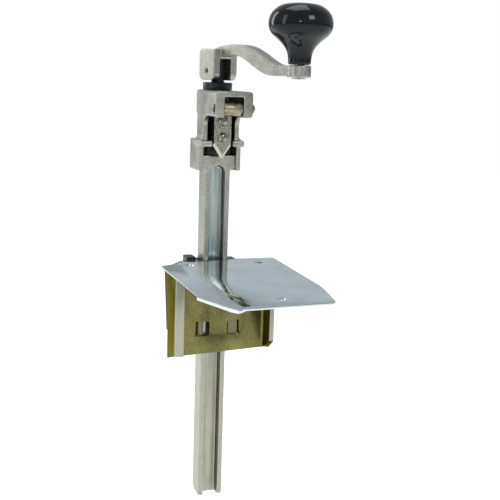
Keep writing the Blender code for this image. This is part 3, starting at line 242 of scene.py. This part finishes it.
# The bar and its head are one nickel-plated iron casting. Sand casting leaves its edges soft and its
# skin grained. The groove down the bar has painted brown shade on its walls and a painted cold
# reflection on its floor, and warms towards its foot.
CAST_VOXEL = 0.00062
CAST_PASSES = 6
CAST_KEEP = 0.6
CAST_SHADING = 60.0
GRAIN_SCALE = 1100.0
GRAIN_DEPTH = 0.00016
NICKEL_DARK = (0.218, 0.212, 0.178, 1.0)
NICKEL_LIGHT = (0.475, 0.470, 0.410, 1.0)
NICKEL_WARM = (0.330, 0.305, 0.215, 1.0)
GROOVE_PAINTED_REFLECTION = (0.230, 0.285, 0.300, 1.0)
GROOVE_STREAK_HIGHLIGHT = (0.500, 0.560, 0.545, 1.0)
GROOVE_PAINTED_SHADE = (0.130, 0.110, 0.060, 1.0)
GROOVE_FLOOR_STARTS = (0.0441, 0.0447)
GROOVE_FLOOR_ENDS = (0.0463, 0.0467)
GROOVE_FLOOR_SIDES = (0.0072, 0.0077)
GROOVE_WALL_STARTS = (0.0368, 0.0380)
GROOVE_WALL_ENDS = (0.0437, 0.0443)
GROOVE_WALL_SIDES = (0.0076, 0.0080)
WARMS_DOWN = (-0.03, -0.12)


def copy_of(node):
    """A new piece that starts from a CAD node's mesh, with its loose triangles merged."""
    start_piece()
    piece = bpy.data.objects.new("shaped_" + node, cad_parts[node].data.copy())
    bpy.context.scene.collection.objects.link(piece)
    piece.data.materials.clear()
    edit = bmesh.new()
    edit.from_mesh(piece.data)
    bmesh.ops.remove_doubles(edit, verts=edit.verts, dist=0.000002)
    bmesh.ops.dissolve_limit(edit, angle_limit=math.radians(0.5), verts=edit.verts, edges=edit.edges)
    edit.to_mesh(piece.data)
    edit.free()
    if piece.data.has_custom_normals:
        bpy.context.view_layer.objects.active = piece
        bpy.ops.mesh.customdata_custom_splitnormals_clear()
    return piece


def work(piece, kind, **settings):
    """One modifier, applied at once."""
    start_piece()
    piece.select_set(True)
    bpy.context.view_layer.objects.active = piece
    step = piece.modifiers.new(kind.lower(), kind)
    for name, value in settings.items():
        setattr(step, name, value)
    bpy.ops.object.modifier_apply(modifier=step.name)


def cast(piece, voxel, share):
    """Softens every edge: the mesh is rebuilt in small cells, smoothed and thinned."""
    work(piece, "REMESH", mode="VOXEL", voxel_size=voxel, use_smooth_shade=True)
    work(piece, "SMOOTH", factor=0.5, iterations=CAST_PASSES)
    work(piece, "DECIMATE", ratio=share)


def done(piece, name, body, slot, material, *nodes, angle=35.0):
    """Transforms applied, edges shaded, the piece joined to its body, and the CAD nodes it replaces hidden;
    the slot argument is not used.
    """
    start_piece()
    piece.select_set(True)
    bpy.context.view_layer.objects.active = piece
    bpy.ops.object.transform_apply(location=True, rotation=True, scale=True)
    bpy.ops.object.shade_smooth_by_angle(angle=math.radians(angle))
    piece.name = name
    piece.data.name = name
    piece.data.materials.append(material)
    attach(piece, body)
    if nodes:
        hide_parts(*nodes)


def cast_skin(name, groove=False):
    """Satin nickel over a grained casting; the bar's groove gets painted shade on its walls and a painted
    reflection on its floor.
    """
    material, shader, sockets = new_finish(name, Metallic=1.0)
    broad = shader.noise(45.0, 3.0, 0.55)
    fine = shader.noise(GRAIN_SCALE, 3.0, 0.6)
    mottle = shader.spread(broad * 0.2 + fine * 0.8, 0.36, 0.62)
    colour = shader.blend(mottle, NICKEL_DARK, NICKEL_LIGHT)
    gloss = shader.spread(broad, 0.3, 0.7, 0.30, 0.44)
    if groove:
        inside = abs(shader.along(0))
        depth = shader.along(1)
        low = shader.spread(shader.along(2), *WARMS_DOWN)
        # Painted reflection: the groove floor is coloured cold, with a lighter painted streak, and warmer
        # towards the foot.
        reflection_mask = (shader.spread(depth, *GROOVE_FLOOR_STARTS)
                      * (1 - shader.spread(depth, *GROOVE_FLOOR_ENDS))
                      * (1 - shader.spread(inside, *GROOVE_FLOOR_SIDES)))
        # Painted shade: the groove walls are darkened to brown.
        painted_shade_mask = (shader.spread(depth, *GROOVE_WALL_STARTS)
                     * (1 - shader.spread(depth, *GROOVE_WALL_ENDS))
                     * (1 - shader.spread(inside, *GROOVE_WALL_SIDES)))
        reflection_streak = shader.noise(30.0, 3.0, 0.6, shader.stretched((6.0, 1.0, 0.5)))
        painted_reflection = shader.blend(shader.spread(reflection_streak, 0.40, 0.60), GROOVE_PAINTED_REFLECTION, GROOVE_STREAK_HIGHLIGHT)
        painted_reflection = shader.blend(low * 0.75, painted_reflection, NICKEL_WARM)
        colour = shader.blend(low * 0.35, colour, NICKEL_WARM)
        colour = shader.blend(reflection_mask * 0.85, colour, painted_reflection)
        colour = shader.blend(painted_shade_mask * 0.8, colour, GROOVE_PAINTED_SHADE)
    skin = shader.relief(fine, 0.55, GRAIN_DEPTH, shader.relief(broad, 0.25, 0.0004))
    feed(shader, sockets, Base_Color=colour, Roughness=gloss, Normal=skin)
    return material


casting = copy_of("opener_casting")
cast(casting, CAST_VOXEL, CAST_KEEP)
bar_nickel = cast_skin("bar_nickel", groove=True)
done(casting, "bar_and_head", "head", "nickel_casting", bar_nickel, "opener_casting", angle=CAST_SHADING)


# Bronze parts turned on a lathe sit in the casting: the arbor's two bushes and the knife holder's pin.
# They are left as they come from the lathe, with a fine grain and a few stains.
BRONZE_DARK = (0.235, 0.205, 0.140, 1.0)
BRONZE_LIGHT = (0.430, 0.375, 0.260, 1.0)
BRONZE_GRAIN = (700.0, 2.0, 0.5)
FINE_RELIEF = 0.0001


def worn_finish(name, dark, light, gloss, wear, tone=(0.0, 1.0), relief=None, grain=None, stretch=None,
                **fixed):
    """A finish that wanders between two colours and between two degrees of gloss as it is worn."""
    material, shader, sockets = new_finish(name, **fixed)
    worn = shader.noise(*wear, shader.stretched(stretch) if stretch else None)
    feed(shader, sockets, Base_Color=shader.blend(shader.spread(worn, *tone), dark, light),
         Roughness=shader.spread(worn, 0.3, 0.7, *gloss))
    if relief:
        height = shader.noise(*grain) if grain else worn
        feed(shader, sockets, Normal=shader.relief(height, relief, FINE_RELIEF))
    return material


def keep(node, material):
    """A CAD node that is shown as it is, in a finer material."""
    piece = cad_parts[node]
    piece.data.materials.clear()
    piece.data.materials.append(material)


turned_bronze = worn_finish("turned_bronze", BRONZE_DARK, BRONZE_LIGHT, gloss=(0.28, 0.45),
                            wear=(260.0, 3.0, 0.6), tone=(0.35, 0.65), relief=0.2, grain=BRONZE_GRAIN,
                            Metallic=1.0)
keep("upper_bush", turned_bronze)
keep("lower_bush", turned_bronze)
keep("holder_pin", turned_bronze)


# The arbor is a turned steel spindle, blackened and oiled: its shank stands in the crank's fork and its
# flange rides on top of the head. Its edges are broken and it is smooth enough to carry a line of light.
ARBOR_BEVEL = 0.00035
OXIDE_DARK = (0.006, 0.007, 0.009, 1.0)
OXIDE_LIGHT = (0.022, 0.024, 0.030, 1.0)


def soften(piece, width, segments=2, over=60.0):
    """Breaks the edges that turn by more than an angle."""
    work(piece, "BEVEL", width=width, segments=segments, limit_method="ANGLE", angle_limit=math.radians(over))


black_oxide = worn_finish("black_oxide", OXIDE_DARK, OXIDE_LIGHT, gloss=(0.20, 0.34), wear=(320.0, 4.0, 0.6),
                          tone=(0.4, 0.7), relief=0.12, Metallic=0.0, Specular_IOR_Level=0.32)
arbor = copy_of("arbor")
soften(arbor, ARBOR_BEVEL, over=50.0)
done(arbor, "arbor_spindle", "arbor", "black_oxide", black_oxide, "arbor")


# The drive gear is cut from steel, hardened, and held on the arbor's foot by a washer and a slotted screw.
# The hardening has left it nearly black; the washer and the screw are bright.
GEAR_BEVEL = 0.00022
HARDENED_DARK = (0.025, 0.026, 0.028, 1.0)
HARDENED_LIGHT = (0.130, 0.125, 0.110, 1.0)
BRIGHT_DARK = (0.200, 0.200, 0.200, 1.0)
BRIGHT_LIGHT = (0.420, 0.420, 0.410, 1.0)

hardened_steel = worn_finish("hardened_steel", HARDENED_DARK, HARDENED_LIGHT, gloss=(0.30, 0.45),
                             wear=(600.0, 4.0, 0.6), tone=(0.4, 0.7), Metallic=1.0)
gear = copy_of("drive_gear")
soften(gear, GEAR_BEVEL, segments=1)
done(gear, "toothed_wheel", "arbor", "tool_steel", hardened_steel, "drive_gear", angle=25.0)
bright_steel = worn_finish("bright_steel", BRIGHT_DARK, BRIGHT_LIGHT, gloss=(0.16, 0.30),
                           wear=(500.0, 3.0, 0.6), Metallic=1.0)
keep("gear_washer", bright_steel)
keep("gear_screw", bright_steel)


# The crank is a second nickel-plated casting: a fork over the arbor's shank, a curved arm and a boss.
# A rolled spring pin goes through the fork and the shank.
CRANK_VOXEL = 0.00045
CRANK_KEEP = 0.8

crank = copy_of("crank_arm")
cast(crank, CRANK_VOXEL, CRANK_KEEP)
crank_nickel = cast_skin("crank_nickel")
done(crank, "crank", "arbor", "nickel_casting", crank_nickel, "crank_arm", angle=CAST_SHADING)
keep("crank_pin", bright_steel)


# The knob is moulded in black phenolic and polished; it turns on a stud that is riveted in the boss,
# and a spring ring holds it there. Its profile is a broad cap over a narrow neck.
PHENOLIC_BLACK = (0.004, 0.004, 0.005, 1.0)

phenolic, shader, sockets = new_finish("phenolic", Metallic=0.0, Roughness=0.11, Specular_IOR_Level=0.26,
                                       Base_Color=PHENOLIC_BLACK)
feed(shader, sockets, Normal=shader.relief(shader.noise(60.0, 2.0, 0.5), 0.05, 0.0003))
knob = copy_of("knob")
work(knob, "SUBSURF", levels=1, render_levels=1)
done(knob, "round_knob", "knob", "phenolic", phenolic, "knob", angle=50.0)
keep("knob_stud", bright_steel)
keep("knob_ring", bright_steel)


# The knife holder is a bronze-coloured casting that swings on its pin; the knife is a pointed steel
# plate with ground edges, clamped to the holder by two slotted screws. A wire spring keeps it down.
HOLDER_BEVEL = 0.0005
KNIFE_BEVEL = 0.00015
SCREW_BEVEL = 0.00012
KNIFE_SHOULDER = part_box("knife")[0][2] + 0.0142
GROUND_FACING = (-0.97, -0.2)
GROUND_SIDEWAYS = 0.15
STEEL_DARK = (0.230, 0.215, 0.175, 1.0)
STEEL_LIGHT = (0.450, 0.430, 0.360, 1.0)
GROUND_DARK = (0.370, 0.345, 0.255, 1.0)
GROUND_LIGHT = (0.560, 0.525, 0.410, 1.0)
SCREW_DARK = (0.170, 0.155, 0.125, 1.0)
SCREW_LIGHT = (0.400, 0.370, 0.300, 1.0)

holder = copy_of("knife_holder")
soften(holder, HOLDER_BEVEL, over=50.0)
done(holder, "swinging_holder", "knife_holder", "bronze", turned_bronze, "knife_holder", angle=40.0)
hard_steel = worn_finish("hard_steel", STEEL_DARK, STEEL_LIGHT, gloss=(0.22, 0.40), wear=(420.0, 4.0, 0.6),
                         tone=(0.35, 0.65), relief=0.2, Metallic=1.0)
ground_edge = worn_finish("ground_edge", GROUND_DARK, GROUND_LIGHT, gloss=(0.22, 0.34),
                          wear=(700.0, 2.0, 0.5), stretch=(1.0, 1.0, 4.0), Metallic=1.0)
knife = copy_of("knife")
soften(knife, KNIFE_BEVEL, segments=1, over=20.0)
done(knife, "knife_plate", "knife_holder", "tool_steel", hard_steel, "knife", angle=15.0)
knife.data.materials.append(ground_edge)
for face in knife.data.polygons:
    facing = GROUND_FACING[0] < face.normal.y < GROUND_FACING[1] and abs(face.normal.x) > GROUND_SIDEWAYS
    if face.center.z < KNIFE_SHOULDER and facing:
        face.material_index = 1
screw_steel = worn_finish("screw_steel", SCREW_DARK, SCREW_LIGHT, gloss=(0.14, 0.24), wear=(380.0, 3.0, 0.6),
                          Metallic=1.0)
for place in ("upper", "lower"):
    screw = copy_of("knife_screw_" + place)
    soften(screw, SCREW_BEVEL)
    done(screw, place + "_screw", "knife_holder", "tool_steel", screw_steel, "knife_screw_" + place)
keep("holder_spring", bright_steel)


# The can rests on a plate of polished stainless sheet: its left side is stepped down, a rim is folded
# down round its front, and three countersunk holes take screws. Three spot welds have browned it.
SHEET_BEVEL = 0.00035
POLISHED = (0.620, 0.660, 0.660, 1.0)
DULLED = (0.500, 0.530, 0.520, 1.0)
WELD_HEAT = (0.340, 0.215, 0.150, 1.0)
WELDS = ((0.0400, -0.0510), (-0.0450, -0.0060), (0.0400, 0.0280))
WELD_RADIUS = 0.0022
RIGHT_FOLD = 0.0380

polished, shader, sockets = new_finish("polished_sheet", Metallic=1.0)
place = shader.place()
handling = shader.noise(28.0, 4.0, 0.6)
scratch = shader.noise(60.0, 5.0, 0.7, shader.stretched((1.0, 14.0, 1.0), (0.0, 0.0, 0.35)))
colour = shader.blend(shader.spread(handling, 0.35, 0.7), POLISHED, DULLED)
for weld in WELDS:
    apart = shader.node("ShaderNodeVectorMath", {"operation": "DISTANCE"},
                        {0: place, 1: (*weld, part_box("base_plate")[1][2])}, output=1)
    browned = (1 - shader.spread(apart, WELD_RADIUS * 0.6, WELD_RADIUS)) * 0.55
    colour = shader.blend(browned, colour, WELD_HEAT)
waves = shader.relief(shader.noise(22.0, 2.0, 0.5), 0.35, 0.0012)
feed(shader, sockets, Base_Color=colour,
     Roughness=shader.spread(scratch * 0.6 + handling * 0.4, 0.35, 0.65, 0.06, 0.17),
     Normal=shader.relief(scratch, 0.04, 0.0001, waves))
plate = copy_of("base_plate")
soften(plate, SHEET_BEVEL)
done(plate, "can_plate", "base", "stainless_sheet", polished, "base_plate", angle=25.0)
for edge in plate.data.edges:
    if all(plate.data.vertices[corner].co.x > RIGHT_FOLD for corner in edge.vertices):
        edge.use_edge_sharp = True


# The bracket under the plate is folded from steel sheet with an olive-yellow plating. The lips of its
# walls, which come against the table's edge, carry a painted highlight in bright grey.
OLIVE_DARK = (0.085, 0.077, 0.026, 1.0)
OLIVE_LIGHT = (0.215, 0.195, 0.068, 1.0)
LIP_PAINTED_HIGHLIGHT = (0.350, 0.350, 0.275, 1.0)
LIP_HIGHLIGHT_FADE = (0.0022, 0.0034)

olive, shader, sockets = new_finish("olive_plating", Metallic=1.0, Specular_Tint=(0.45, 0.42, 0.26, 1.0))
cloud = shader.noise(38.0, 4.0, 0.62, shader.stretched((1.0, 1.0, 0.45)))
speck = shader.noise(420.0, 3.0, 0.6)
# Painted highlight: the front lips are blended to a bright grey.
lip_highlight_mask = 1 - shader.spread(shader.along(1), *LIP_HIGHLIGHT_FADE)
colour = shader.blend(shader.spread(cloud * 0.75 + speck * 0.25, 0.36, 0.64), OLIVE_DARK, OLIVE_LIGHT)
feed(shader, sockets, Base_Color=shader.blend(lip_highlight_mask * 0.9, colour, LIP_PAINTED_HIGHLIGHT),
     Roughness=shader.spread(cloud, 0.3, 0.7, 0.24, 0.42), Normal=shader.relief(cloud, 0.2, 0.0006))
bracket = copy_of("base_bracket")
soften(bracket, SHEET_BEVEL)
done(bracket, "bracket", "base", "plated_sheet", olive, "base_bracket", angle=30.0)


# Behind the web a moulded guide, two side pads, a strap and a wavy leaf spring hold the sliding bar, so
# that it stays at any height. The guide's black lug stands up behind the plate's left back edge.
GUIDE_BEVEL = 0.0005
PAD_BEVEL = 0.0004
STRAP_BEVEL = 0.00025
BLACK_DARK = (0.010, 0.011, 0.013, 1.0)
BLACK_LIGHT = (0.024, 0.026, 0.030, 1.0)
TAN_DARK = (0.150, 0.130, 0.060, 1.0)
TAN_LIGHT = (0.260, 0.235, 0.130, 1.0)

black_nylon = worn_finish("black_plastic", BLACK_DARK, BLACK_LIGHT, gloss=(0.36, 0.52),
                          wear=(700.0, 2.0, 0.5), relief=0.2, Metallic=0.0)
guide = copy_of("rear_guide")
soften(guide, GUIDE_BEVEL)
done(guide, "bar_guide", "base", "black_nylon", black_nylon, "rear_guide", angle=30.0)
tan_nylon = worn_finish("tan_plastic", TAN_DARK, TAN_LIGHT, gloss=(0.40, 0.60), wear=(300.0, 3.0, 0.5),
                        Metallic=0.0)
for side in ("left", "right"):
    pad = copy_of(side + "_guide_pad")
    soften(pad, PAD_BEVEL)
    done(pad, side + "_pad", "base", "light_nylon", tan_nylon, side + "_guide_pad")
strap = copy_of("saddle_strap")
soften(strap, STRAP_BEVEL)
done(strap, "strap", "base", "stainless_sheet", polished, "saddle_strap", angle=30.0)
keep("friction_spring", bright_steel)
